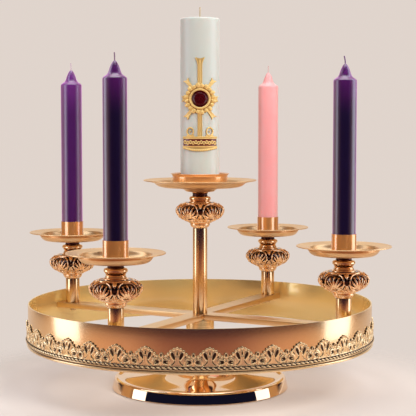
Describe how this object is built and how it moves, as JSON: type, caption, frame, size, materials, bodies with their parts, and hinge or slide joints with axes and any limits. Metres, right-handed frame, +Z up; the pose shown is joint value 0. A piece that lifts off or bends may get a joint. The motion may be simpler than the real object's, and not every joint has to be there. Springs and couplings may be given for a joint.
{
  "type": "advent wreath candle stand",
  "caption": "Table-top Advent wreath stand in gilt brass: a round foot carries an open ring with pierced cresting, and branches with knops, drip pans and wax candles.",
  "frame": {"origin": "the middle of the foot's underside, on the surface that the stand rests on", "axes": "+Z up along the middle post; the arms lie along X and Y, with the rose-coloured candle on +Y"},
  "size_m": [0.6964, 0.6964, 0.661],
  "materials": {
    "satin_gold": "gilt brass, fine satin brushing, clear lacquer",
    "polished_gold": "gilt brass, mirror polished",
    "antique_gold": "cast brass, granular, antique gold with darkened hollows",
    "cast_iron": "rough casting, painted black",
    "steel": "zinc plated",
    "felt": "dense wool felt",
    "purple_wax": "dyed wax with a soft gloss",
    "pink_wax": "dyed wax with a soft gloss",
    "white_wax": "plain wax, silky",
    "cotton": "braided cotton, waxed",
    "gold_wax": "gold-coloured wax relief with a soft lustre",
    "red_wax": "dark red wax"
  },
  "bodies": {
    "root": {"foot_shell": "polished_gold", "foot_weight": "cast_iron", "base_felt": "felt", "stem": "satin_gold", "arm_cross": "satin_gold", "ring_band": "satin_gold", "lower_lip": "antique_gold", "rope_moulding": "antique_gold", "gallery_crest": "antique_gold", "right_tie_rod": "steel", "right_post": "polished_gold", "right_knop": "polished_gold", "right_neck": "polished_gold", "right_pan": "satin_gold", "right_socket": "satin_gold", "right_candle": "purple_wax", "right_wick": "cotton", "rear_tie_rod": "steel", "rear_post": "polished_gold", "rear_knop": "polished_gold", "rear_neck": "polished_gold", "rear_pan": "satin_gold", "rear_socket": "satin_gold", "rear_candle": "pink_wax", "rear_wick": "cotton", "left_tie_rod": "steel", "left_post": "polished_gold", "left_knop": "polished_gold", "left_neck": "polished_gold", "left_pan": "satin_gold", "left_socket": "satin_gold", "left_candle": "purple_wax", "left_wick": "cotton", "front_tie_rod": "steel", "front_post": "polished_gold", "front_knop": "polished_gold", "front_neck": "polished_gold", "front_pan": "satin_gold", "front_socket": "satin_gold", "front_candle": "purple_wax", "front_wick": "cotton", "centre_tie_rod": "steel", "centre_post": "polished_gold", "centre_knop": "polished_gold", "centre_neck": "polished_gold", "centre_pan": "satin_gold", "centre_cup": "satin_gold", "centre_pricket": "steel", "centre_candle": "white_wax", "centre_wick": "cotton", "relief_gold": "gold_wax", "relief_medallion": "red_wax", "relief_stripe": "red_wax"}
  },
  "joints": []
}
